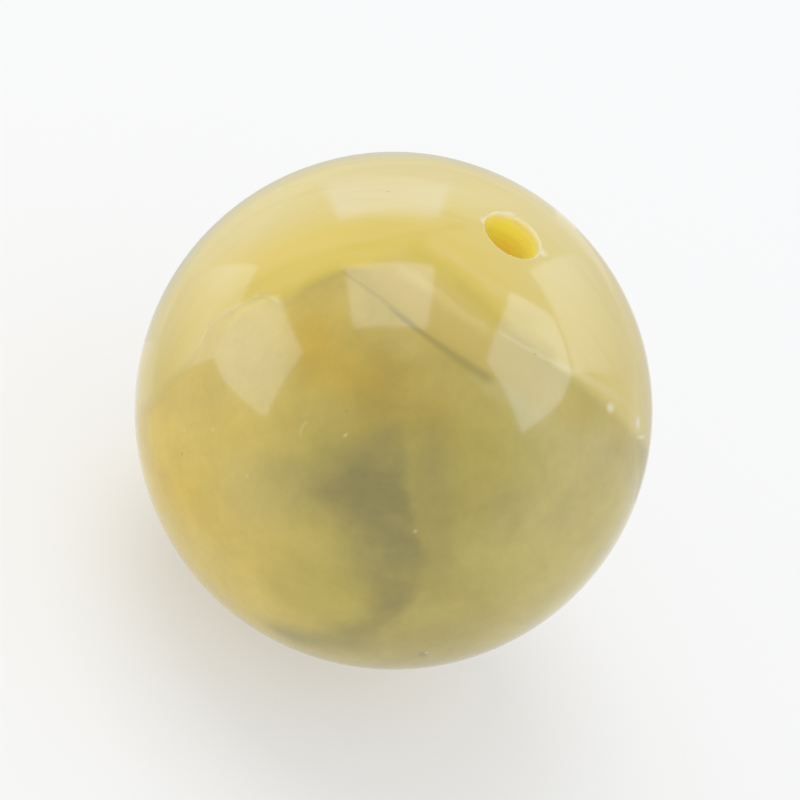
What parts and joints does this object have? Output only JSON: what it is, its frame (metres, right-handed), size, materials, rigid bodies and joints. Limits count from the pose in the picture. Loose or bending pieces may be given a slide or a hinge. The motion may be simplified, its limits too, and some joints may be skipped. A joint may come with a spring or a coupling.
{
  "type": "drilled round bead",
  "caption": "Large round bead of polished, marbled yellow resin, with one straight hole through its centre that takes a cord or a pin.",
  "frame": {"origin": "centre of the ball, halfway along the hole", "axes": "+Z along the hole's axis; the ball is round about it, so X and Y are free"},
  "size_m": [0.02, 0.02, 0.0198],
  "materials": {
    "marbled_resin": "high polish over marbled golden, cream and grey-olive resin, slightly translucent"
  },
  "bodies": {
    "root": {"bead_ball": "marbled_resin"}
  },
  "joints": []
}
